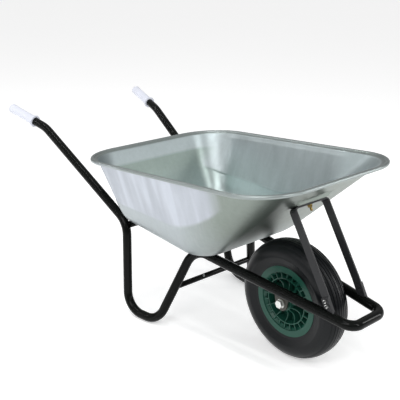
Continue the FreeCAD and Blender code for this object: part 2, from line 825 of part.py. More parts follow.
def tread_surface_radius(y):
    """Radius of the tyre's smooth outer surface at this distance from the middle."""
    share = 1 - (abs(y) / (tyre_width / 2)) ** tyre_squareness
    return wheel_radius - tyre_width / 2 * (1 - share ** (1 / tyre_squareness))


def make_tyre():
    tyre = revolved(tyre_profile(0, section_steps) + tyre_profile(tyre_wall, section_steps)[::-1])
    pitch = tread_width / tread_rib_count
    outside = wheel_radius + tread_groove_depth
    for number in range(1, tread_rib_count):
        y = -tread_width / 2 + pitch * number
        crown = tread_surface_radius(y)
        low_y = y - tread_groove_width / 2
        high_y = y + tread_groove_width / 2
        tyre = tyre.cut(revolved([(crown - tread_groove_depth, low_y), (outside, low_y),
                                  (outside, high_y), (crown - tread_groove_depth, high_y)]))
    return tyre


def make_inner_tube():
    shrink = tyre_wall + loose_fit
    outer = tyre_profile(shrink, section_steps)
    hollow = tyre_profile(shrink + inner_tube_wall, section_steps)
    floor_radius = bead_seat_radius + loose_fit + inner_tube_wall
    hollow = [(max(radius, floor_radius), y) for radius, y in hollow]
    return revolved(outer).cut(revolved(hollow))


def make_valve_stem():
    start = valve_point(bead_seat_radius - valve_stem_length)
    return rod(start, valve_direction(), valve_stem_radius, valve_stem_length)


def make_valve_cap():
    start = valve_point(bead_seat_radius - valve_stem_length - valve_cap_length)
    cap = rod(start, valve_direction(), valve_cap_radius, valve_cap_length)
    rim = min(cap.Edges, key=lambda edge: (edge.CenterOfMass - start).Length)
    return cap.makeFillet(valve_cap_fillet, [rim])


# ---------------------------------------------------------------- grips
def make_grip():
    """Left hand grip: closed plastic sleeve with a flange at its inner end."""
    along = unit(handle_bend - grip_end)
    bore = tube_radius + running_fit
    edge = grip_edge_radius
    points = [Vector(0, 0, 0), Vector(grip_end_radius - edge, 0, 0)]
    corner_depth = edge * (1 - math.cos(math.pi / 4))
    corner = Part.Arc(points[1], Vector(grip_end_radius - corner_depth, 0, corner_depth),
                      Vector(grip_end_radius, 0, edge))
    flange_z = grip_length - grip_flange_thickness
    rest = [Vector(grip_end_radius, 0, edge), Vector(grip_radius, 0, grip_end_swell),
            Vector(grip_radius, 0, flange_z), Vector(grip_flange_radius, 0, flange_z + grip_flange_slope),
            Vector(grip_flange_radius, 0, grip_length), Vector(bore, 0, grip_length),
            Vector(bore, 0, grip_end_wall), Vector(0, 0, grip_end_wall), Vector(0, 0, 0)]
    edges = [Part.LineSegment(points[0], points[1]).toShape(), corner.toShape()]
    edges += [Part.LineSegment(first, second).toShape() for first, second in zip(rest, rest[1:])]
    grip = Part.Face(Part.Wire(edges)).revolve(Vector(0, 0, 0), Z_AXIS, 360)
    grip.Placement = FreeCAD.Placement(grip_end, FreeCAD.Rotation(Z_AXIS, along))
    return grip


# ---------------------------------------------------------------- assembly
def build_nodes():
    """All sub-parts by name, with the axle above X = 0."""
    edges = left_tube_edges()
    tube = swept_tube(edges, tube_radius, tube_wall)
    solid_tube = swept_rod(edges, tube_radius)
    solids = [solid_tube, mirrored(solid_tube)]
    grip = make_grip()
    bracket = make_bracket(solid_tube)
    lug = make_lug(solid_tube)
    spacer = make_spacer()
    bush = make_bush()
    return {
        "tray": [make_tray()],
        "rim_wire": [make_rim_wire()],
        "left_frame_tube": [tube],
        "right_frame_tube": [mirrored(tube)],
        "left_grip": [grip],
        "right_grip": [mirrored(grip)],
        "rear_cross_tube": [make_rear_cross(solids)],
        "front_cross_bar": [make_front_cross(solids)],
        "leg_brace": [make_brace(solids)],
        "brace_screws": make_brace_screws(),
        "front_stay": [make_stay(solids)],
        "left_stay_lug": [lug],
        "right_stay_lug": [mirrored(lug)],
        "stay_bolts": make_stay_bolts(),
        "stay_nuts": make_stay_nuts(),
        "stay_top_bolt": [make_stay_top_bolt()],
        "stay_top_washer": [make_stay_top_washer()],
        "stay_top_nut": [make_stay_top_nut()],
        "tray_bolts": make_tray_bolts(),
        "tray_washers": make_tray_washers(),
        "tray_nuts": make_tray_nuts(),
        "left_axle_bracket": [bracket],
        "right_axle_bracket": [mirrored(bracket)],
        "axle": [make_axle()],
        "axle_washers": make_axle_washers(),
        "axle_nut": [make_axle_nut()],
        "left_spacer": [spacer],
        "right_spacer": [mirrored(spacer)],
        "wheel_centre": [make_wheel_centre()],
        "left_bush": [bush],
        "right_bush": [mirrored(bush)],
        "tyre": [make_tyre()],
        "inner_tube": [make_inner_tube()],
        "valve_stem": [make_valve_stem()],
        "valve_cap": [make_valve_cap()],
    }


def origin_shift(nodes):
    """Forward move that puts the middle of the whole object's length at X = 0."""
    rear = nodes["left_grip"][0].optimalBoundingBox(False).XMin
    front = nodes["left_frame_tube"][0].optimalBoundingBox(False).XMax
    return -(rear + front) / 2


def main():
    os.makedirs("parts", exist_ok=True)
    nodes = build_nodes()
    shift = origin_shift(nodes)
    print("axle_x", round(shift, 4))
    for name, solids in nodes.items():
        shape = solids[0] if len(solids) == 1 else Part.makeCompound(solids)
        shape.translate(Vector(shift, 0, 0))
        shape.exportStep("parts/" + name + ".step")
        print(name, len(shape.Solids), shape.isValid(), round(shape.Volume))


main()
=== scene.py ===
"""Visual model of a single-wheel builder's wheelbarrow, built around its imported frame.

Laid out as an add-on, with one operator for each group of like pieces, and run as a script.
"""
import json
import math
from collections import namedtuple

import bmesh
import bpy
from bpy.props import FloatProperty, FloatVectorProperty, IntProperty, PointerProperty
from mathutils import Matrix, Vector, noise


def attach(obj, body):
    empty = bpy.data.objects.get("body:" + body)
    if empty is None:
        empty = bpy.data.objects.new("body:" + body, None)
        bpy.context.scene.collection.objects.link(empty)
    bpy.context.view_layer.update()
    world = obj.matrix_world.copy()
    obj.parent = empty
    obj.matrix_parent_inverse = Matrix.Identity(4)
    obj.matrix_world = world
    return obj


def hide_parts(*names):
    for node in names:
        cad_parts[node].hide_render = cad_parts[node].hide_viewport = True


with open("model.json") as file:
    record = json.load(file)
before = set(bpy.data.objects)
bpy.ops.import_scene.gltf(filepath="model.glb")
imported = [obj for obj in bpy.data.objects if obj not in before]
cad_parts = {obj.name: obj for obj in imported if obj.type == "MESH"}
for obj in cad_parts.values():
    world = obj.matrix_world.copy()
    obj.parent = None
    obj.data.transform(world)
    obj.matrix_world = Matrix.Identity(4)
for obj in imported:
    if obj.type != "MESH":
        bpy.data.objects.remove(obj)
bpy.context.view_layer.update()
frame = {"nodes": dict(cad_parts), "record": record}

bl_info = {
    "name": "Wheelbarrow Maker",
    "version": (1, 0, 0),
    "blender": (4, 5, 0),
    "location": "3D View > Sidebar > Wheelbarrow",
    "description": "Builds a pressed-tray wheelbarrow around its packed frame",
    "category": "Add Mesh",
}

axle = Vector(frame["record"]["behaviour"]["joints"][0]["pos_m"])
ROOT = "root"
WHEEL = "wheel"
Y_AXIS = Vector((0, 1, 0))
FULL_TURN = 2 * math.pi


# ---------------------------------------------------------------- sizes and colours
def length(name, description, default):
    return FloatProperty(name=name, description=description, default=default, min=0.0,
                         unit="LENGTH", subtype="DISTANCE", precision=4)


def lengths(name, description, default):
    return FloatVectorProperty(name=name, description=description, default=default,
                               size=len(default), unit="LENGTH", precision=4)


def colour(name, description, default):
    return FloatVectorProperty(name=name, description=description, default=default, size=3,
                               subtype="COLOR", min=0.0, max=1.0)


class WheelbarrowTraySizes(bpy.types.PropertyGroup):
    """Sizes of the pressed tray. X is measured forward from the axle and Z up from the ground."""
    rim_front: lengths("Rim front", "X and Z of the rim's front end", (0.168, 0.645))
    rim_rear: lengths("Rim rear", "X and Z of the rim's rear end", (-0.774, 0.5635))
    rim_halves: lengths("Rim half widths", "Half widths at the front and rear", (0.323, 0.336))
    rim_radii: lengths("Rim corner radii", "Corner radii at the front and rear", (0.156, 0.169))
    floor_ends: lengths("Floor ends", "X of the floor's front and rear corners", (-0.211, -0.636))
    floor_halves: lengths("Floor half widths", "Half widths at the front and rear", (0.226, 0.240))
    floor_radii: lengths("Floor corner radii", "Corner radii at the front and rear", (0.080, 0.060))
    floor_height: length("Floor height", "Underside of the floor above the front cross bar", 0.31796)
    lip_width: length("Lip width", "From the rim's outer edge to the wall", 0.022)
    roll_radius: length("Roll radius", "Outer radius of the rolled edge", 0.0065)
    sheet: length("Sheet", "Thickness of the sheet", 0.0012)
    pad_half_width: length("Pad half width", "Half width of the pad that the stay is bolted to", 0.093)
    pad_height: length("Pad height", "Height of that pad, up the front wall", 0.056)
    pad_draft: length("Pad draft", "Length of the slopes at the pad's ends", 0.027)
    panel_step: length("Panel step", "How far the side walls' panels are set in", 0.0018)
    ripple: length("Ripple", "Depth of the soft drawing ripples in the side walls", 0.0008)


class WheelbarrowFrameSizes(bpy.types.PropertyGroup):
    """Corner points of the left tube's centre line, from the axle and the ground, and its bends."""
    tube_radius: length("Tube radius", "Outer radius of the frame tube", 0.016)
    grip_end: lengths("Grip end", "Outer end of the grip", (-1.275, 0.306, 0.654))
    handle_bend: lengths("Handle bend", "Bend in front of the grip", (-1.075, 0.270, 0.606))
    handle_foot: lengths("Handle foot", "Top of the rear leg", (-0.612, 0.222, 0.334))
    rear_foot: lengths("Rear foot", "Rear bend on the ground", (-0.570, 0.258, 0.016))
    front_foot: lengths("Front foot", "Front bend on the ground", (-0.423, 0.234, 0.016))
    knee: lengths("Knee", "Top of the front leg", (-0.339, 0.135, 0.300))
    nose: lengths("Nose", "Front corner", (0.289, 0.072, 0.243))
    bends: lengths("Bends", "Bend radii from the handle to the nose",
                   (0.150, 0.090, 0.075, 0.075, 0.075, 0.036))
    stay_top: lengths("Stay top", "Middle of the stay's top", (0.0415, 0.0, 0.5365))
    stay_kink: lengths("Stay kink", "Where the stay's legs change slope", (0.1825, 0.0, 0.3125))
    stay_bar: lengths("Stay bar", "Width and thickness of the stay's flat bar", (0.028, 0.005))


class WheelbarrowWheelSizes(bpy.types.PropertyGroup):
    """Sizes of the wheel."""
    radius: length("Radius", "Outer radius of the tyre", 0.200)
    half_width: length("Half width", "Half the tyre's width", 0.051)
    tread_half: length("Tread half width", "Half the width of the ribbed tread", 0.036)
    squareness: FloatProperty(name="Squareness", description="How square the tyre's section is",
                              default=2.4, min=2.0)
    groove_count: IntProperty(name="Grooves", description="Grooves round the tread", default=8, min=2)
    groove_width: length("Groove width", "Width of the tread grooves", 0.003)
    groove_depth: length("Groove depth", "Depth of the tread grooves", 0.0028)
    rim_flange: length("Rim flange", "Outer radius of the wheel centre", 0.1195)
    rim_half: length("Rim half width", "Half width of the wheel centre", 0.041)


class WheelbarrowColours(bpy.types.PropertyGroup):
    """Colours of the finishes, with painted shade, light and reflection on parts of the tray."""
    zinc_sheet: colour("Zinc sheet", "Galvanised tray", (0.405, 0.445, 0.460))
    zinc_panel: colour("Zinc panel", "Stretched panels outside", (0.470, 0.500, 0.548))
    # Painted reflection: the outside front wall is darker and greener, standing in for the shaded ground it
    # reflects.
    zinc_front_painted_reflection: colour("Zinc front", "Front wall outside", (0.235, 0.270, 0.244))
    zinc_inside: colour("Zinc inside", "Inside of the tray", (0.49, 0.56, 0.57))
    # Painted shade: the lower rear wall inside is darker.
    zinc_rear_wall_painted_shade: colour("Zinc rear wall", "Lower rear wall inside", (0.27, 0.33, 0.305))
    # Painted light band: the upper rear wall inside is lighter.
    zinc_upper_wall_painted_light: colour("Zinc upper wall", "Upper rear wall inside", (0.385, 0.44, 0.45))
    # Painted shade: the lip and rolled edge are darker.
    zinc_rim_painted_shade: colour("Zinc rim", "Lip and rolled edge", (0.29, 0.325, 0.32))
    zinc_wall: colour("Zinc wall", "Stretched panels inside", (0.385, 0.432, 0.442))
    frame_black: colour("Frame black", "Gloss black paint of the tubes", (0.0028, 0.0033, 0.0030))
    stay_black: colour("Stay black", "Satin black paint of the flat bar", (0.014, 0.0145, 0.016))
    bracket_brown: colour("Bracket brown", "Thin paint of the axle brackets", (0.034, 0.033, 0.027))
    grip: colour("Grip", "Pale plastic of the grips", (0.66, 0.68, 0.76))
    rubber: colour("Rubber", "Black rubber", (0.0032, 0.0040, 0.0048))
    centre_green: colour("Centre green", "Plastic of the wheel centre", (0.009, 0.062, 0.042))
    bright_zinc: colour("Bright zinc", "Plating of the fasteners", (0.72, 0.73, 0.71))
    yellow_zinc: colour("Yellow zinc", "Passivated plating of the stay's bolt", (0.24, 0.17, 0.06))
    nylon: colour("Nylon", "Bushes and valve cap", (0.03, 0.03, 0.03))
    floor: colour("Floor", "Studio floor", (0.93, 0.93, 0.93))


class WheelbarrowStage(bpy.types.PropertyGroup):
    """Place, turn, pitch, roll, lens and shift of the camera."""
    camera: lengths("Camera", "Place of the camera", (1.80305, -1.54020, 1.25824))
    turn: FloatProperty(name="Turn", description="Turn of the camera about the upright",
                        default=math.radians(49.1), subtype="ANGLE")
    pitch: FloatProperty(name="Pitch", description="How far the camera looks down",
                         default=math.radians(20.4), subtype="ANGLE")
    roll: FloatProperty(name="Roll", description="Roll of the camera", default=math.radians(0.2),
                        subtype="ANGLE")
    lens: FloatProperty(name="Lens", description="Focal length in millimetres on a 36 mm sensor",
                        default=62.27)
    shift: FloatVectorProperty(name="Shift", description="Shift of the camera", size=2,
                               default=(-0.0015, 0.0175))


# ---------------------------------------------------------------- mesh helpers
def from_axle(point):
    """A place in the frame, from one given from the axle."""
    return Vector((point[0] + axle.x, point[1], point[2]))


def left_right(point):
    """The same point on the barrow's right side."""
    return Vector((point[0], -point[1], point[2]))


def aligned(place, direction):
    """Matrix that moves the origin to place and turns +Z along direction."""
    return Matrix.Translation(place) @ Vector(direction).to_track_quat("Z", "Y").to_matrix().to_4x4()


def loop_verts(edges):
    return list(dict.fromkeys(vert for edge in edges for vert in edge.verts))


def loop_edges(verts):
    """The edges that have both ends in verts."""
    inside = set(verts)
    edges = dict.fromkeys(edge for vert in verts for edge in vert.link_edges)
    return [edge for edge in edges if edge.verts[0] in inside and edge.verts[1] in inside]


def disc_loop(bm, radius, place, direction, segments):
    made = bmesh.ops.create_circle(bm, cap_ends=False, segments=segments, radius=radius,
                                   matrix=aligned(place, direction))
    return loop_edges(made["verts"])


def push(bm, edges, matrix):
    """Extrudes a loop of edges and moves the new end by the matrix."""
    made = bmesh.ops.extrude_edge_only(bm, edges=edges)["geom"]
    verts = [item for item in made if isinstance(item, bmesh.types.BMVert)]
    bmesh.ops.transform(bm, matrix=matrix, verts=verts)
    return loop_edges(verts)


def spin_loop(bm, edges, centre, axis, angle, steps):
    made = bmesh.ops.spin(bm, geom=loop_verts(edges) + edges, cent=centre, axis=axis, dvec=(0, 0, 0),
                          angle=angle, steps=steps, use_merge=False, use_duplicate=False)
    verts = [item for item in made["geom_last"] if isinstance(item, bmesh.types.BMVert)]
    return loop_edges(verts)


def sweep(bm, edges, points, radii, step_angle=math.radians(3)):
    """Carries a loop along straight runs joined by arcs; radii belong to the inner points."""
    place = points[0]
    for before, corner, after, radius in zip(points, points[1:], points[2:], radii):
        back = (before - corner).normalized()
        ahead = (after - corner).normalized()
        turn = math.pi - back.angle(ahead)
        reach = radius * math.tan(turn / 2)
        centre = corner + (back + ahead).normalized() * radius / math.cos(turn / 2)
        edges = push(bm, edges, Matrix.Translation(corner + back * reach - place))
        steps = max(3, round(turn / step_angle))
        edges = spin_loop(bm, edges, centre, (-back).cross(ahead), turn, steps)
        place = corner + ahead * reach
    return push(bm, edges, Matrix.Translation(points[-1] - place))


def cap(bm, edges):
    bmesh.ops.edgeloop_fill(bm, edges=edges)


def turned(bm, profile, place, direction, segments, closed=False):
    """Full spin of an outline given as (radius, distance along direction)."""
    matrix = aligned(place, direction)
    verts = [bm.verts.new(matrix @ Vector((radius, 0, along))) for radius, along in profile]
    pairs = list(zip(verts, verts[1:]))
    if closed:
        pairs.append((verts[-1], verts[0]))
    edges = [bm.edges.new(pair) for pair in pairs]
    bmesh.ops.spin(bm, geom=verts + edges, cent=place, axis=direction, dvec=(0, 0, 0),
                   angle=FULL_TURN, steps=segments, use_merge=True, use_duplicate=False)


def tidy(bm):
    bmesh.ops.remove_doubles(bm, verts=bm.verts, dist=1e-6)
    bmesh.ops.recalc_face_normals(bm, faces=bm.faces)


def finished(bm, name, material, body, slot, *nodes, smooth=math.radians(40)):
    """Makes the piece, with its material, its body and the CAD nodes it stands for; slot is not used."""
    mesh = bpy.data.meshes.new(name)
    bm.to_mesh(mesh)
    bm.free()
    mesh.materials.append(material)
    mesh.shade_smooth()
    mesh.set_sharp_from_angle(angle=smooth)
    piece = bpy.data.objects.new(name, mesh)
    bpy.context.scene.collection.objects.link(piece)
    weighted = piece.modifiers.new("Weighted normals", "WEIGHTED_NORMAL")
    weighted.keep_sharp = True
    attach(piece, body)
    if nodes:
        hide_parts(*nodes)
    return piece


def dress(material, *nodes):
    """Gives carried CAD nodes a finish."""
    for name in nodes:
        for material_slot in frame["nodes"][name].material_slots:
            material_slot.material = material


# ---------------------------------------------------------------- materials
class Value:
    """A shader socket that can be used in a Python expression, which adds its Math nodes."""

    def __init__(self, finish, socket):
        self.finish = finish
        self.socket = socket

    def math(self, operation, *others):
        inputs = dict(enumerate((self,) + others))
        return self.finish.node("ShaderNodeMath", {"operation": operation}, inputs)

    def __add__(self, other):
        return self.math("ADD", other)

    def __sub__(self, other):
        return self.math("SUBTRACT", other)

    def __rsub__(self, other):
        return (self * -1) + other

    def __mul__(self, other):
        return self.math("MULTIPLY", other)

    __radd__ = __add__
    __rmul__ = __mul__

    def clamped(self, low=0.0, high=1.0):
        return self.math("MAXIMUM", low).math("MINIMUM", high)


class Finish:
    """The shader nodes of a material or a world, while it is being made."""

    def __init__(self, owner):
        self.owner = owner
        owner.use_nodes = True
        self.tree = owner.node_tree
        self.tree.nodes.clear()

    @classmethod
    def of_material(cls, name):
        return cls(bpy.data.materials.new(name))

    def node(self, kind, settings, inputs, output=0):
        made = self.tree.nodes.new(kind)
        for key, setting in settings.items():
            if key == "stops":
                ramp = made.color_ramp
                while len(ramp.elements) < len(setting):
                    ramp.elements.new(1.0)
                for element, (position, shade) in zip(ramp.elements, setting):
                    element.position = position
                    element.color = (*shade, 1.0)
            else:
                setattr(made, key, setting)
        for key, value in inputs.items():
            if isinstance(value, Value):
                self.tree.links.new(value.socket, made.inputs[key])
            else:
                made.inputs[key].default_value = value
        return Value(self, made.outputs[output]) if made.outputs else None

    def place(self):
        """Object coordinates, in metres."""
        return self.node("ShaderNodeTexCoord", {}, {}, "Object")

    def stretched(self, vector, scale, rotation=(0, 0, 0)):
        return self.node("ShaderNodeMapping", {}, {"Vector": vector, "Scale": scale,
                                                   "Rotation": rotation})

    def noise(self, vector, scale, detail=2.0, roughness=0.5, distortion=0.0):
        return self.node("ShaderNodeTexNoise", {}, {
            "Vector": vector, "Scale": scale, "Detail": detail, "Roughness": roughness,
            "Distortion": distortion})

    def mix(self, share, first, second):
        return self.node("ShaderNodeMix", {"data_type": "RGBA"}, {0: share, 6: first, 7: second}, 2)

    def shade(self, value, low, high):
        """Turns a 0 to 1 value into a range of numbers."""
        return value * (high - low) + low

    def bump(self, height, distance, strength=1.0):
        return self.node("ShaderNodeBump", {}, {
            "Strength": strength, "Distance": distance, "Height": height}, "Normal")

    def done(self, **sockets):
        """Ends the material in a Principled shader; names use _ for the spaces in sockets."""
        inputs = {key.replace("_", " "): value for key, value in sockets.items()}
        if isinstance(inputs.get("Base Color"), tuple):
            inputs["Base Color"] = (*inputs["Base Color"], 1.0)
        shader = self.node("ShaderNodeBsdfPrincipled", {}, inputs)
        self.node("ShaderNodeOutputMaterial", {}, {"Surface": shader})
        return self.owner


DRAW_ANGLE = math.radians(-27)  # lean of the streaks in the stretched panels
PAINTED_BAND_START = 0.74              # share of the wall's height where the painted light band on the upper wall starts
PAINTED_BAND_RUN = 0.05                # and over which it comes in


def rgba(shade, factor=1.0):
    return (*(min(part * factor, 1.0) for part in shade), 1.0)


def galvanised_sheet(name, shades, painted_light_start, painted_light_run, streaks):
    """Zinc with faint crystals; the stretched side panels are paler and streaked where they were drawn.

    shades are the colours of the rear, its upper wall, the front, the panels and the rim; set by place,
    they hold painted shade, a painted light band and a painted reflection. The front colour comes in at
    the given start X, over the given run in metres. streaks is the streaks' share in the panels.
    """
    rear_shade, upper_shade, front_shade, panel_shade, rim_painted_shade = shades
    finish = Finish.of_material(name)
    place = finish.place()
    crystals = finish.node("ShaderNodeTexVoronoi", {"feature": "F1"}, {
        "Vector": place, "Scale": 90.0, "Randomness": 1.0}, "Color")
    crystal = finish.node("ShaderNodeSeparateColor", {}, {"Color": crystals}, "Red")
    blotch = finish.noise(place, 5.0, detail=4.0, roughness=0.6)
    rolling = finish.noise(finish.stretched(place, (110.0, 60.0, 5.0)), 1.0, detail=3.0, roughness=0.6)
    drawn = finish.noise(finish.stretched(place, (22.0, 4.0, 3.0), (0, DRAW_ANGLE, 0)), 1.0, detail=1.5)
    panel = finish.node("ShaderNodeAttribute", {"attribute_name": "panel"}, {}, "Fac")
    streak = finish.node("ShaderNodeValToRGB", {"stops": (
        (0.36, (0.0,) * 3), (0.5, (0.35,) * 3), (0.64, (1.0,) * 3))}, {"Fac": drawn})
    streak = finish.node("ShaderNodeSeparateColor", {}, {"Color": streak}, "Red")
    # Painted by position along X: outside, the front wall takes a painted reflection of the shaded ground;
    # inside, the rear keeps a darker colour, painted shade, and the floor and front take the plain colour.
    forward = finish.node("ShaderNodeSeparateXYZ", {}, {"Vector": place}, "X")
    front = ((forward - painted_light_start) * (1 / painted_light_run)).clamped()
    tone = crystal * 0.12 + blotch * 0.4 + rolling * 0.48
    # Painted light band: by wall height the upper rear wall inside is lighter; outside both colours are the
    # same.
    wall_share = finish.node("ShaderNodeAttribute", {"attribute_name": "share"}, {}, "Fac")
    upper = ((wall_share - PAINTED_BAND_START) * (1 / PAINTED_BAND_RUN)).clamped()
    rear = finish.mix(upper, rgba(rear_shade), rgba(upper_shade))
    middle = finish.mix(front, rear, rgba(front_shade))
    plain = finish.node("ShaderNodeVectorMath", {"operation": "SCALE"}, {
        0: middle, "Scale": finish.shade(tone, 0.85, 1.10)})
    drawn_shade = finish.mix(streak * streaks + tone * (1 - streaks),
                             rgba(panel_shade, 0.84), rgba(panel_shade, 1.18))
    # The lip and rolled edge take one darker colour, painted shade.
    rim = finish.node("ShaderNodeAttribute", {"attribute_name": "rim"}, {}, "Fac")
    base = finish.mix(rim, finish.mix(panel, plain, drawn_shade), rgba(rim_painted_shade))
    rough = finish.shade(tone, 0.46, 0.32) + panel * 0.05
    height = blotch * 0.6 + rolling * 0.25
    return finish.done(Base_Color=base, Metallic=1.0, Roughness=rough,
                       Normal=finish.bump(height, 0.002, 0.25))


def gloss_paint(name, shade, roughness, specular, orange_peel=0.15):
    """Black paint with a slight orange peel and duller patches."""
    finish = Finish.of_material(name)
    place = finish.place()
    peel = finish.noise(place, 260.0, detail=1.0)
    patch = finish.noise(place, 14.0, detail=3.0)
    base = finish.mix(patch, rgba(shade, 0.8), rgba(shade, 1.5))
    rough = finish.shade(patch, roughness - 0.03, roughness + 0.06)
    return finish.done(Base_Color=base, Roughness=rough, Specular_IOR_Level=specular,
                       Normal=finish.bump(peel, 0.0004, orange_peel))


def moulded_plastic(name, shade, roughness, grain_scale=420.0):
    """Moulded plastic with a fine grain and slight shade changes."""
    finish = Finish.of_material(name)
    place = finish.place()
    grain = finish.noise(place, grain_scale)
    patch = finish.noise(place, 18.0)
    base = finish.mix(patch, rgba(shade, 0.9), rgba(shade, 1.12))
    rough = finish.shade(grain, roughness - 0.05, roughness + 0.08)
    return finish.done(Base_Color=base, Roughness=rough, Specular_IOR_Level=0.3,
                       Normal=finish.bump(grain, 0.0003, 0.2))


def tyre_rubber(name, shade):
    """Black rubber with a fine moulded grain and a dusty bloom."""
    finish = Finish.of_material(name)
    place = finish.place()
    grain = finish.noise(place, 700.0)
    bloom = finish.noise(place, 9.0, detail=4.0)
    base = finish.mix(bloom, rgba(shade, 0.8), rgba(shade, 1.7))
    rough = finish.shade(bloom, 0.27, 0.38)
    return finish.done(Base_Color=base, Roughness=rough, Specular_IOR_Level=0.19,
                       Normal=finish.bump(grain, 0.0003, 0.3))


def plated_steel(name, shade, roughness=0.28):
    """Plated fastener steel, a little cloudy."""
    finish = Finish.of_material(name)
    place = finish.place()
    cloud = finish.noise(place, 160.0, detail=3.0)
    base = finish.mix(cloud, rgba(shade, 0.8), rgba(shade, 1.1))
    rough = finish.shade(cloud, roughness - 0.06, roughness + 0.12)
    return finish.done(Base_Color=base, Metallic=1.0, Roughness=rough,
                       Normal=finish.bump(cloud, 0.0002, 0.2))


def studio_floor(name, shade):
    """Pale matt floor that glows a little, so that it stays pale under a dim dome."""
    finish = Finish.of_material(name)
    patch = finish.noise(finish.place(), 0.8)
    base = finish.mix(patch, rgba(shade, 0.99), rgba(shade))
    return finish.done(Base_Color=base, Roughness=0.9, Emission_Color=(1.0, 1.0, 1.0, 1.0),
                       Emission_Strength=0.34)


FINISHES = {}


def finish_named(name):
    """Makes each finish once, from the scene's colours."""
    if not FINISHES:
        shades = bpy.context.scene.wheelbarrow_colours
        FINISHES.update({
            # Painted by place: outside, a painted reflection on the front wall; inside, painted shade on
            # the lower rear wall and a painted light band above it; both, painted shade on the rim.
            "galvanised": galvanised_sheet(
                "galvanised outside",
                (shades.zinc_sheet, shades.zinc_sheet, shades.zinc_front_painted_reflection, shades.zinc_panel,
                 shades.zinc_rim_painted_shade),
                painted_light_start=0.20, painted_light_run=0.22, streaks=0.65),
            "inside": galvanised_sheet(
                "galvanised inside",
                (shades.zinc_rear_wall_painted_shade, shades.zinc_upper_wall_painted_light, shades.zinc_inside, shades.zinc_wall,
                 shades.zinc_rim_painted_shade),
                painted_light_start=-0.22, painted_light_run=0.16, streaks=0.25),
            "frame": gloss_paint("gloss black tube paint", shades.frame_black, 0.09, 0.10),
            "stay": gloss_paint("satin black bar paint", shades.stay_black, 0.38, 0.25, 0.3),
            "bracket": gloss_paint("thin bracket paint", shades.bracket_brown, 0.42, 0.35, 0.3),
            "grip": moulded_plastic("pale grip plastic", shades.grip, 0.42),
            "tyre": tyre_rubber("tyre rubber", shades.rubber),
            "green": moulded_plastic("green wheel plastic", shades.centre_green, 0.36),
            "zinc": plated_steel("bright zinc plate", shades.bright_zinc),
            "yellow": plated_steel("yellow zinc plate", shades.yellow_zinc),
            "nylon": moulded_plastic("dark nylon", shades.nylon, 0.4),
            "floor": studio_floor("studio floor", shades.floor),
        })
    return FINISHES[name]


# ---------------------------------------------------------------- tray
def smoothstep(low, high, value):
    share = min(max((value - low) / (high - low), 0.0), 1.0)
    return share * share * (3 - 2 * share)


def mixed(first, second, share):
    """The level that lies at this share of the way from first to second."""
    return Level(*(low + (high - low) * share for low, high in zip(first, second)))


CORNER_SEGMENTS = 18
SIDE_CUTS = {"front": 71, "side": 63, "rear": 31}

# A level of the tray: the X and Z of its ends, and its half widths and corner radii there
Level = namedtuple("Level", "front_x front_z rear_x rear_z front_half rear_half front_radius rear_radius")


def rounded_loop(bm, level, inset=0.0, rise=0.0):
    """Closed loop of edges round the tray, in the level's plane, which is tilted about Y."""
    front = Vector((level.front_x, 0, level.front_z))
    rear = Vector((level.rear_x, 0, level.rear_z))
    along = (front - rear).normalized()
    up = along.cross(Y_AXIS)
    if up.z < 0:
        up = -up
    move = up * rise
    front_half = level.front_half - inset
    rear_half = level.rear_half - inset
    corners = [front - along * inset + Y_AXIS * side * front_half + move for side in (-1, 1)]
    corners += [rear + along * inset + Y_AXIS * side * rear_half + move for side in (1, -1)]
    verts = [bm.verts.new(from_axle(corner)) for corner in corners]
    bm.faces.new(verts)
    for pair, radius in ((verts[:2], level.front_radius), (verts[2:], level.rear_radius)):
        bmesh.ops.bevel(bm, geom=pair, offset=radius - inset, offset_type="OFFSET",
                        segments=CORNER_SEGMENTS, profile=0.5, affect="VERTICES", material=-1,
                        clamp_overlap=False)
    face = bm.faces[:][0]
    longest = sorted(face.edges, key=lambda edge: edge.calc_length())[-4:]
    for edge in longest:
        middle = (edge.verts[0].co + edge.verts[1].co) / 2
        where = "side" if abs(middle.y) > abs(level.rear_half) / 2 else "front"
        if where == "front" and middle.x < axle.x + (front.x + rear.x) / 2:
            where = "rear"
        bmesh.ops.subdivide_edges(bm, edges=[edge], cuts=SIDE_CUTS[where])
    edges = face.edges[:]
    bmesh.ops.delete(bm, geom=[face], context="FACES_ONLY")
    return edges


def tray_floor_height(sizes, x):
    """Underside of the floor, which falls towards the wheel."""
    slope = 0.09
    cross_bar_x = -0.300
    return sizes.floor_height - slope * (x - cross_bar_x)


WALL_TOP = 0.985        # share of the wall's height where the lip's bend ends
WALL_STEPS = 64
BELLY_TOP = 0.32        # share of the wall's height where it starts to curve into the floor
BELLY_STEPS = 16
BELLY_WEIGHT = 2.4      # pull of the corner on that curve
FLOOR_RUN = 0.070       # from the corner to the flat floor, at the front and the sides
REAR_FLOOR_RUN = 0.026  # and at the rear


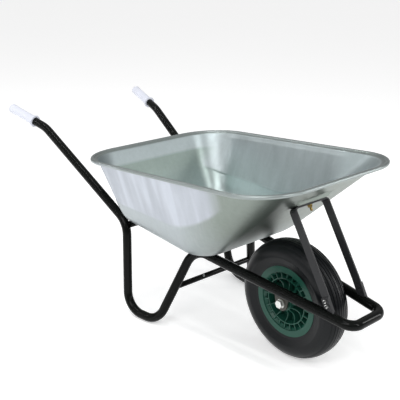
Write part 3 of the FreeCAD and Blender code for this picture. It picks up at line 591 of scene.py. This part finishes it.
def tray_levels(sizes):
    """(share of the wall's height, level) from the lip down to the floor's flat part."""
    lip = sizes.lip_width
    top = Level(sizes.rim_front[0] - lip, sizes.rim_front[1], sizes.rim_rear[0] + lip, sizes.rim_rear[1],
                *(half - lip for half in sizes.rim_halves), *(radius - lip for radius in sizes.rim_radii))
    front_x, rear_x = sizes.floor_ends
    corner = Level(front_x, tray_floor_height(sizes, front_x), rear_x, tray_floor_height(sizes, rear_x),
                   *sizes.floor_halves, *sizes.floor_radii)
    flat_front = front_x - FLOOR_RUN
    flat_rear = rear_x + REAR_FLOOR_RUN
    flat = Level(flat_front, tray_floor_height(sizes, flat_front),
                 flat_rear, tray_floor_height(sizes, flat_rear),
                 *(half - FLOOR_RUN for half in sizes.floor_halves),
                 *(radius - FLOOR_RUN / 3 for radius in sizes.floor_radii))
    belly = mixed(corner, top, BELLY_TOP)
    levels = []
    for step in range(WALL_STEPS):
        share = WALL_TOP + (BELLY_TOP - WALL_TOP) * step / WALL_STEPS
        levels.append((share, mixed(corner, top, share)))
    for step in range(BELLY_STEPS + 1):
        along = step / BELLY_STEPS
        weights = ((1 - along) ** 2, 2 * BELLY_WEIGHT * along * (1 - along), along ** 2)
        total = sum(weights)
        level = Level(*((high * weights[0] + middle * weights[1] + low * weights[2]) / total
                        for high, middle, low in zip(belly, corner, flat)))
        levels.append((BELLY_TOP * (1 - along), level))
    return levels


PAD_REACH = 0.04  # deepest place behind the stay that the pad still brings forward
PAD_EDGE = 0.012  # length of the slopes at the pad's top and bottom


def add_pad(bm, sizes, stay):
    """Presses out the pad on the front wall, square to the stay."""
    top = from_axle(stay.stay_top)
    outward = (from_axle(stay.stay_kink) - top).normalized()
    upward = Y_AXIS.cross(outward)
    if upward.z < 0:
        upward = -upward
    plane = top - outward * (stay.stay_bar[1] / 2 + sizes.sheet / 2)
    for vert in bm.verts:
        offset = vert.co - plane
        depth = -offset.dot(outward)
        if not 0 < depth < PAD_REACH:
            continue
        end = (sizes.pad_half_width - abs(offset.y)) / sizes.pad_draft
        edge = (sizes.pad_height / 2 - abs(offset.dot(upward))) / PAD_EDGE + 0.5
        vert.co += outward * depth * min(max(end, 0), 1) * smoothstep(0, 1, edge)


# The lower edge of the side panels; X is from the axle, and heights are shares of the wall's height
CREASE_LOW = 0.32
CREASE_REAR, CREASE_REAR_RISE = -0.60, 6.4
CREASE_FRONT, CREASE_FRONT_RISE = -0.33, 3.2
CREASE_POWER = 1.6
CREASE_BLEND = 0.016


def crease_share(x):
    """Share of the wall's height at which the side panel ends: level in the middle, rising to both ends."""
    to_rear = max(CREASE_REAR - x, 0) ** CREASE_POWER
    to_front = max(x - CREASE_FRONT, 0) ** CREASE_POWER
    return CREASE_LOW + CREASE_REAR_RISE * to_rear + CREASE_FRONT_RISE * to_front


# Where the panels fade in and out: from the axle at their ends, and as shares of the height at the top
PANEL_REAR = (-0.725, -0.665)
PANEL_FRONT = (-0.115, -0.030)
PANEL_TOP = (0.92, 0.98)
SIDE_FACING = 0.3  # least sideways part of a side wall's normal

# The ripples run down the side walls, leaning forward
RIPPLE_RUN = Vector((0.458, 0, -0.889))
RIPPLE_ACROSS = Vector((0.889, 0, 0.458))
RIPPLES_ALONG = 2.2
RIPPLES_ACROSS = 17
SIDE_OFFSET = 7    # keeps the two sides' ripples different
FINE_SCALE = 2.1   # of the finer ripples, against the main ones
FINE_SHARE = 0.5


def add_panels(bm, sizes):
    """Sets the panels of the side walls in a little and gives them soft drawing ripples."""
    panel = bm.verts.layers.float["panel"]
    share_layer = bm.verts.layers.float["share"]
    for vert in bm.verts:
        share = vert[share_layer]
        if share <= 0 or abs(vert.normal.y) < SIDE_FACING:
            continue
        x = vert.co.x - axle.x
        ends = smoothstep(*PANEL_REAR, x) * (1 - smoothstep(*PANEL_FRONT, x))
        crease = crease_share(x)
        top = 1 - smoothstep(*PANEL_TOP, share)
        inside = smoothstep(crease - CREASE_BLEND, crease + CREASE_BLEND, share) * ends * top
        vert[panel] = smoothstep(crease - CREASE_BLEND / 2, crease + CREASE_BLEND * 3, share) * ends
        side = math.copysign(1, vert.co.y)
        sample = Vector((vert.co.dot(RIPPLE_ACROSS) * RIPPLES_ACROSS,
                         vert.co.dot(RIPPLE_RUN) * RIPPLES_ALONG, side * SIDE_OFFSET))
        wave = noise.noise(sample) + FINE_SHARE * noise.noise(sample * FINE_SCALE)
        vert.co.y -= side * inside * (sizes.panel_step + sizes.ripple * wave)


# The loops round the rim: the rolled edge by angle, then the lip as (inset, rise) and its bend
ROLL_ANGLES = range(-150, 166, 21)
LIP_INSETS = (0.0135, 0.0185)
LIP_BEND = (0.0212, -0.0015)


class WHEELBARROW_OT_tray(bpy.types.Operator):
    """Build the pressed tray with its rolled rim and stay pad"""
    bl_idname = "wheelbarrow.tray"
    bl_label = "Tray"

    def execute(self, context):
        sizes = context.scene.wheelbarrow_tray
        stay = context.scene.wheelbarrow_frame
        bm = bmesh.new()
        share_layer = bm.verts.layers.float.new("share")
        bm.verts.layers.float.new("panel")
        rim_layer = bm.verts.layers.float.new("rim")
        rim = Level(*sizes.rim_front, *sizes.rim_rear, *sizes.rim_halves, *sizes.rim_radii)
        half_sheet = sizes.sheet / 2
        roll = sizes.roll_radius - half_sheet
        loops = []
        for degrees in ROLL_ANGLES:
            angle = math.radians(degrees)
            loops.append(rounded_loop(bm, rim, sizes.roll_radius - roll * math.cos(angle),
                                      roll * math.sin(angle) - half_sheet))
        for inset in LIP_INSETS:
            loops.append(rounded_loop(bm, rim, inset, -half_sheet))
        loops.append(rounded_loop(bm, rim, *LIP_BEND))
        # Marks the rim's loops for the finishes' darker lip colour, painted shade.
        for vert in bm.verts:
            vert[rim_layer] = 1.0
        for share, level in tray_levels(sizes):
            edges = rounded_loop(bm, level, half_sheet)
            for vert in loop_verts(edges):
                vert[share_layer] = share
            loops.append(edges)
        for first, second in zip(loops, loops[1:]):
            bmesh.ops.bridge_loops(bm, edges=first + second)
        cap(bm, loops[-1])
        bmesh.ops.recalc_face_normals(bm, faces=bm.faces)
        bm.normal_update()
        add_pad(bm, sizes, stay)
        add_panels(bm, sizes)
        tray = finished(bm, "tray_shell", finish_named("inside"), ROOT, "galvanised_steel", "tray")
        tray.data.materials.append(finish_named("galvanised"))
        sheet = tray.modifiers.new("Sheet", "SOLIDIFY")
        sheet.thickness = sizes.sheet
        sheet.offset = 0.0
        sheet.material_offset = 1
        dress(finish_named("galvanised"), "rim_wire")
        return {"FINISHED"}


# ---------------------------------------------------------------- frame
GRIP_END_WALL = 0.005  # the tube starts this far inside the grip's end
TUBE_SEGMENTS = 48


def left_tube_points(sizes):
    """Corner points of the left tube's centre line, from the grip to the middle of the nose."""
    nose_middle = Vector((sizes.nose[0], 0, sizes.nose[2]))
    points = [sizes.grip_end, sizes.handle_bend, sizes.handle_foot, sizes.rear_foot, sizes.front_foot,
              sizes.knee, sizes.nose, nose_middle]
    return [from_axle(point) for point in points]


class WHEELBARROW_OT_frame_tubes(bpy.types.Operator):
    """Build the two bent frame tubes, and finish the bars, brackets and screws on them"""
    bl_idname = "wheelbarrow.frame_tubes"
    bl_label = "Frame tubes"

    def execute(self, context):
        sizes = context.scene.wheelbarrow_frame
        for side, name in ((1, "left"), (-1, "right")):
            points = left_tube_points(sizes)
            points[0] += (points[1] - points[0]).normalized() * GRIP_END_WALL
            if side < 0:
                points = [left_right(point) for point in points]
            bm = bmesh.new()
            start = disc_loop(bm, sizes.tube_radius, points[0], points[1] - points[0], TUBE_SEGMENTS)
            cap(bm, start)
            cap(bm, sweep(bm, start, points, sizes.bends))
            tidy(bm)
            finished(bm, name + "_bent_tube", finish_named("frame"), ROOT, "black_painted_steel",
                     name + "_frame_tube")
        dress(finish_named("frame"), "rear_cross_tube", "front_cross_bar", "leg_brace")
        dress(finish_named("bracket"), "left_axle_bracket", "right_axle_bracket")
        dress(finish_named("zinc"), "brace_screws")
        return {"FINISHED"}


class WHEELBARROW_OT_grips(bpy.types.Operator):
    """Finish the hand grips"""
    bl_idname = "wheelbarrow.grips"
    bl_label = "Grips"

    def execute(self, context):
        dress(finish_named("grip"), "left_grip", "right_grip")
        return {"FINISHED"}


class WHEELBARROW_OT_stay(bpy.types.Operator):
    """Finish the front stay, its lugs and its fasteners, and the tray's bolts"""
    bl_idname = "wheelbarrow.stay"
    bl_label = "Front stay"

    def execute(self, context):
        dress(finish_named("stay"), "front_stay", "left_stay_lug", "right_stay_lug", "stay_bolts")
        dress(finish_named("zinc"), "stay_nuts", "tray_bolts", "tray_washers", "tray_nuts")
        dress(finish_named("yellow"), "stay_top_bolt", "stay_top_washer", "stay_top_nut")
        return {"FINISHED"}


# ---------------------------------------------------------------- wheel
SIDEWALL_STEPS = 48
CASING_STEPS = 24
TYRE_SEGMENTS = 120
CASING = 0.005        # thickness of the tyre's wall
TREAD_MARGIN = 0.002  # between the tread's grooves and the sidewall
GROOVE_FLOOR = 0.6    # width of a groove's floor, as a share of its mouth
BEAD_SIDE = 0.0045    # thickness of the rim's flange
BEAD_TOP = 0.002      # depth of the bead under the flange's edge
BEAD_SEAT = 0.0155    # depth of the bead's seat under it


def tyre_section(sizes, inset, steps):
    """Rounded outline of the tyre as (radius, Y), from one side to the other."""
    middle = sizes.radius - sizes.half_width
    power = 2 / sizes.squareness
    outline = []
    for step in range(steps + 1):
        angle = math.pi * step / steps
        across = -math.copysign(abs(math.cos(angle)) ** power, math.cos(angle))
        outline.append((middle + (sizes.half_width - inset) * abs(math.sin(angle)) ** power,
                        (sizes.half_width - inset) * across))
    return outline


def crown_radius(sizes, y):
    """Outer radius of the tyre this far from its middle plane."""
    share = 1 - (abs(y) / sizes.half_width) ** sizes.squareness
    return sizes.radius - sizes.half_width * (1 - share ** (1 / sizes.squareness))


def tyre_outline(sizes):
    """Closed outline of the tyre: beads, sidewalls, the grooved tread and the inside."""
    tread = sizes.tread_half
    sides = [point for point in tyre_section(sizes, 0, SIDEWALL_STEPS)
             if abs(point[1]) > tread + TREAD_MARGIN]
    half = len(sides) // 2
    pitch = 2 * tread / (sizes.groove_count - 1)
    groove = sizes.groove_width / 2
    crown = []
    for number in range(sizes.groove_count):
        y = -tread + pitch * number
        outer = crown_radius(sizes, y)
        floor = outer - sizes.groove_depth
        crown += [(outer, y - groove), (floor, y - groove * GROOVE_FLOOR),
                  (floor, y + groove * GROOVE_FLOOR), (outer, y + groove)]
        if number < sizes.groove_count - 1:
            crown.append((crown_radius(sizes, y + pitch / 2), y + pitch / 2))
    bead = (sizes.rim_flange - BEAD_TOP, sizes.rim_half - BEAD_SIDE)
    seat = (sizes.rim_flange - BEAD_SEAT, sizes.rim_half - BEAD_SIDE)
    inner = tyre_section(sizes, CASING, CASING_STEPS)
    return ([(seat[0], -seat[1]), (bead[0], -bead[1])] + sides[:half] + crown + sides[half:]
            + [bead, seat] + inner[::-1])


class WHEELBARROW_OT_tyre(bpy.types.Operator):
    """Build the tyre with its grooved tread"""
    bl_idname = "wheelbarrow.tyre"
    bl_label = "Tyre"

    def execute(self, context):
        sizes = context.scene.wheelbarrow_wheel
        bm = bmesh.new()
        turned(bm, tyre_outline(sizes), axle, Y_AXIS, TYRE_SEGMENTS, closed=True)
        tidy(bm)
        finished(bm, "grooved_tyre", finish_named("tyre"), WHEEL, "black_tyre", "tyre")
        dress(finish_named("tyre"), "inner_tube")
        return {"FINISHED"}


class WHEELBARROW_OT_wheel(bpy.types.Operator):
    """Finish the wheel centre, the axle and what is on it"""
    bl_idname = "wheelbarrow.wheel"
    bl_label = "Wheel"

    def execute(self, context):
        dress(finish_named("zinc"), "axle", "axle_nut", "axle_washers", "left_spacer", "right_spacer")
        dress(finish_named("green"), "wheel_centre")
        dress(finish_named("nylon"), "left_bush", "right_bush", "valve_stem", "valve_cap")
        return {"FINISHED"}


# ---------------------------------------------------------------- stage
def softbox(name, place, target, size, power):
    """A rectangular light at a place, facing a target."""
    light = bpy.data.lights.new(name, "AREA")
    light.shape = "RECTANGLE"
    light.size, light.size_y = size
    light.energy = power
    lamp = bpy.data.objects.new(name, light)
    lamp.location = place
    lamp.rotation_euler = (Vector(target) - Vector(place)).to_track_quat("-Z", "Y").to_euler()
    bpy.context.scene.collection.objects.link(lamp)


def studio_dome(name):
    """A dome that is dim at the horizon and bright overhead."""
    finish = Finish(bpy.data.worlds.new(name))
    direction = finish.node("ShaderNodeTexCoord", {}, {}, "Generated")
    height = finish.node("ShaderNodeSeparateXYZ", {}, {"Vector": direction}, "Z")
    shade = finish.node("ShaderNodeValToRGB", {"stops": (
        (0.0, (0.86,) * 3), (0.03, (0.80,) * 3), (0.10, (0.28,) * 3), (0.30, (0.36,) * 3),
        (0.45, (0.60,) * 3), (1.0, (0.68,) * 3))}, {"Fac": height})
    background = finish.node("ShaderNodeBackground", {}, {"Color": shade, "Strength": 1.0})
    finish.node("ShaderNodeOutputWorld", {}, {"Surface": background})
    return finish.owner


FLOOR_REACH = 60
# name: (place, target, (width, height), watts)
SOFTBOXES = {
    "key": ((1.5, -2.6, 2.7), (0, 0, 0.4), (2.0, 1.1), 34),
    "left strip": ((-2.8, -2.2, 2.6), (0, 0, 0.3), (1.6, 0.06), 14),
    "near strip": ((-0.6, -5.0, 2.2), (0, 0, 0.3), (6.0, 0.09), 36),
    "tread strip": ((2.9, 2.8, 1.4), (0.5, 0, 0.2), (0.35, 2.0), 26),
    "overhead strip": ((-0.2, -1.0, 3.6), (0, 0, 0.3), (4.0, 0.06), 34),
    "front strip": ((3.0, 0.3, 2.1), (0.5, 0, 0.2), (0.09, 2.4), 24),
}


class WHEELBARROW_OT_stage(bpy.types.Operator):
    """Set the floor, the lights and the camera"""
    bl_idname = "wheelbarrow.stage"
    bl_label = "Stage"

    def execute(self, context):
        scene = context.scene
        stage = scene.wheelbarrow_stage
        data = bpy.data.cameras.new("camera")
        data.sensor_width = 36
        data.lens = stage.lens
        data.shift_x, data.shift_y = stage.shift
        data.clip_end = 100
        camera = bpy.data.objects.new("camera", data)
        camera.location = stage.camera
        turn = Matrix.Rotation(stage.turn, 4, "Z")
        tilt = Matrix.Rotation(math.pi / 2 - stage.pitch, 4, "X")
        roll = Matrix.Rotation(stage.roll, 4, "Z")
        camera.rotation_euler = (turn @ tilt @ roll).to_euler()
        scene.collection.objects.link(camera)
        scene.camera = camera

        bm = bmesh.new()
        bmesh.ops.create_grid(bm, x_segments=2, y_segments=2, size=FLOOR_REACH)
        mesh = bpy.data.meshes.new("floor")
        bm.to_mesh(mesh)
        bm.free()
        mesh.materials.append(finish_named("floor"))
        floor = bpy.data.objects.new("floor", mesh)
        scene.collection.objects.link(floor)

        scene.world = studio_dome("studio")
        scene.view_settings.view_transform = "Standard"
        for name, light in SOFTBOXES.items():
            softbox(name, *light)
        return {"FINISHED"}


# ---------------------------------------------------------------- add-on
OPERATORS = (WHEELBARROW_OT_tray, WHEELBARROW_OT_frame_tubes, WHEELBARROW_OT_grips,
             WHEELBARROW_OT_stay, WHEELBARROW_OT_tyre, WHEELBARROW_OT_wheel, WHEELBARROW_OT_stage)


class WHEELBARROW_PT_maker(bpy.types.Panel):
    """Lists the operators in the order in which they are run"""
    bl_label = "Wheelbarrow"
    bl_idname = "WHEELBARROW_PT_maker"
    bl_space_type = "VIEW_3D"
    bl_region_type = "UI"
    bl_category = "Wheelbarrow"

    def draw(self, context):
        for operator in OPERATORS:
            self.layout.operator(operator.bl_idname)


GROUPS = {
    "wheelbarrow_tray": WheelbarrowTraySizes,
    "wheelbarrow_frame": WheelbarrowFrameSizes,
    "wheelbarrow_wheel": WheelbarrowWheelSizes,
    "wheelbarrow_colours": WheelbarrowColours,
    "wheelbarrow_stage": WheelbarrowStage,
}
CLASSES = (*GROUPS.values(), *OPERATORS, WHEELBARROW_PT_maker)


def register():
    for item in CLASSES:
        bpy.utils.register_class(item)
    for name, group in GROUPS.items():
        setattr(bpy.types.Scene, name, PointerProperty(type=group))


def unregister():
    for name in GROUPS:
        delattr(bpy.types.Scene, name)
    for item in reversed(CLASSES):
        bpy.utils.unregister_class(item)


def main():
    register()
    for operator in OPERATORS:
        group, name = operator.bl_idname.split(".")
        getattr(getattr(bpy.ops, group), name)()


if __name__ == "__main__":
    main()
